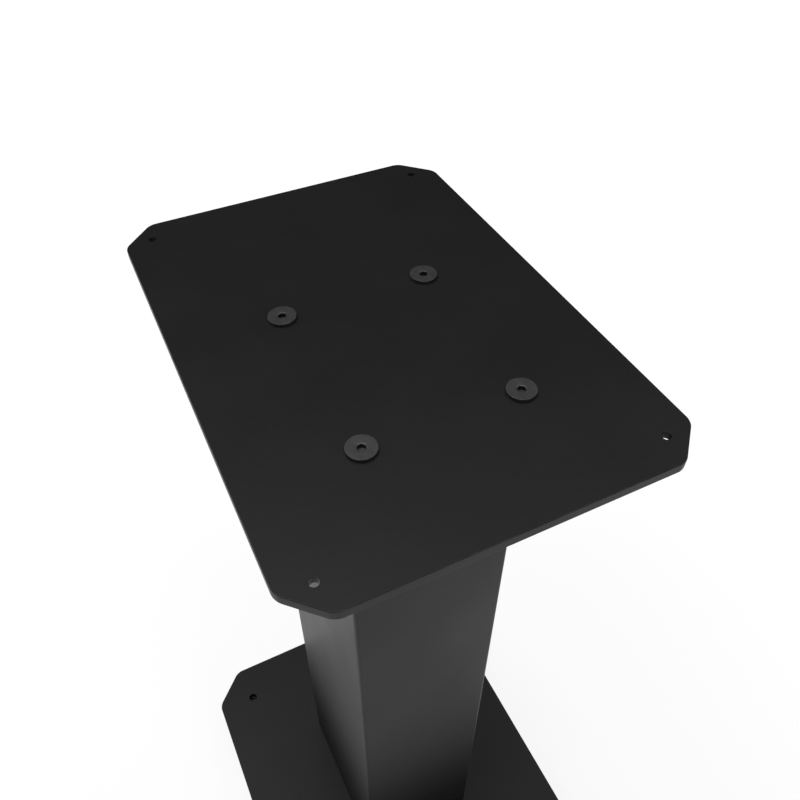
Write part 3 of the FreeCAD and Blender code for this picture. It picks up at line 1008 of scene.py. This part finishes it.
spikeShape = shapeSpike("front_left_spike")
for corner, (sideX, sideY) in footCorners.items():
    x, y = sideX * feet["reach"][0], sideY * feet["reach"][1]
    title = corner.title().replace("_", "")
    makeSpike(f"spike{title}", f"{corner}_spike", f"{corner}_spike", x, y)
    makeLockNut(f"lockNut{title}", f"{corner}_lock_nut", x, y)
    makeFloorDisc(f"floorDisc{title}", f"{corner}_disc", f"{corner}_floor_disc", x, y)
    makeDiscPad(f"discPad{title}", f"{corner}_disc", f"{corner}_disc_pad", x, y)
spikeShape.free()
print("feet made")


studio = {
    "floorSize": 30.0,
    "floorColour": 0.85,
    "floorGlow": 1.04,
    "floorGlowShare": (0.79, 1.0),  # near the stand, where its shadow lies, and far from it
    "floorGlowReach": (0.3, 0.9),
    "fillStrength": 0.05,
    "fillColour": 0.8,
    "lamps": {
        # where it hangs, where it points, its two sides, its power
        "overheadLamp": ((-1.2, 0.2, 4.0), (-1.2, 0.2, 0.0), (3.5, 3.5), 141.0),
        "rightLamp": ((1.8, 0.2, 4.0), (1.8, 0.2, 0.0), (2.5, 2.5), 36.0),
        "frontLamp": ((0.8, -3.4, 1.6), (0.0, 0.0, 0.3), (2.2, 2.2), 37.0),
        "backLamp": ((-2.6, 2.8, 1.3), (0.0, 0.0, 0.3), (2.2, 2.2), 45.0),
    },
    "cameraPlace": (-0.12375, -0.28134, 0.90708),
    "cameraAzimuth": 26.116,
    "cameraElevation": 45.504,
    "lens": 35.0,
    "sensor": 36.0,
}


def mixShaders(tree, share, first, second):
    mixed = addNode(tree, "MixShader")
    feed(tree, mixed.inputs[0], share)
    feed(tree, mixed.inputs[1], first.outputs[0])
    feed(tree, mixed.inputs[2], second.outputs[0])
    return mixed.outputs[0]


# Whether the camera sees the floor, also off gloss or through glass. The glow lights nothing else.
def seenDirectly(tree):
    path = addNode(tree, "LightPath")
    seen = calculate(tree, "MAXIMUM", path.outputs["Is Camera Ray"],
                     path.outputs["Is Glossy Ray"])
    return calculate(tree, "MAXIMUM", seen, path.outputs["Is Transmission Ray"])


def makeFloor():
    bm = bmesh.new()
    bmesh.ops.create_grid(bm, x_segments=1, y_segments=1, size=studio["floorSize"] / 2)
    mesh = bpy.data.meshes.new("floor")
    bm.to_mesh(mesh)
    bm.free()
    floor = bpy.data.objects.new("floor", mesh)
    scene.collection.objects.link(floor)
    material = bpy.data.materials.new("paleFloor")
    material.use_nodes = True
    tree = material.node_tree
    tree.nodes.remove(tree.nodes["Principled BSDF"])
    plain = addNode(tree, "BsdfDiffuse", Color=grey(studio["floorColour"]))
    glow = addNode(tree, "Emission", Color=grey(1.0), Strength=studio["floorGlow"])
    place = addNode(tree, "TexCoord")
    away = addNode(tree, "VectorMath", {"operation": "LENGTH"}, Vector=place.outputs["Object"])
    white = spread(tree, away.outputs["Value"], *studio["floorGlowReach"],
                   *studio["floorGlowShare"])
    share = times(tree, seenDirectly(tree), white)
    feed(tree, tree.nodes["Material Output"].inputs["Surface"],
         mixShaders(tree, share, plain, glow))
    mesh.materials.append(material)


def makeWorld():
    world = bpy.data.worlds.new("studio")
    world.use_nodes = True
    tree = world.node_tree
    fill = tree.nodes["Background"]
    fill.inputs["Color"].default_value = grey(studio["fillColour"])
    fill.inputs["Strength"].default_value = studio["fillStrength"]
    white = addNode(tree, "Background", Color=grey(1.0), Strength=1.0)
    path = addNode(tree, "LightPath")
    feed(tree, tree.nodes["World Output"].inputs["Surface"],
         mixShaders(tree, path.outputs["Is Camera Ray"], fill, white))
    scene.world = world


# -Z looks along the direction given, with +Y up.
def aim(thing, direction):
    thing.rotation_mode = "QUATERNION"
    thing.rotation_quaternion = direction.to_track_quat("-Z", "Y")


def makeLamp(name, place, target, size, power):
    light = bpy.data.lights.new(name, "AREA")
    light.shape = "RECTANGLE"
    light.size, light.size_y = size
    light.energy = power
    lamp = bpy.data.objects.new(name, light)
    scene.collection.objects.link(lamp)
    lamp.location = place
    aim(lamp, Vector(target) - Vector(place))


def makeCamera():
    azimuth = math.radians(studio["cameraAzimuth"])
    elevation = math.radians(studio["cameraElevation"])
    level = math.cos(elevation)
    lens = bpy.data.cameras.new("camera")
    lens.lens = studio["lens"]
    lens.sensor_width = studio["sensor"]
    camera = bpy.data.objects.new("camera", lens)
    scene.collection.objects.link(camera)
    camera.location = studio["cameraPlace"]
    aim(camera, Vector((math.sin(azimuth) * level, math.cos(azimuth) * level,
                        -math.sin(elevation))))
    scene.camera = camera


makeFloor()
makeWorld()
for name, (place, target, size, power) in studio["lamps"].items():
    makeLamp(name, place, target, size, power)
makeCamera()
scene.view_settings.view_transform = "Standard"
print("studio made")
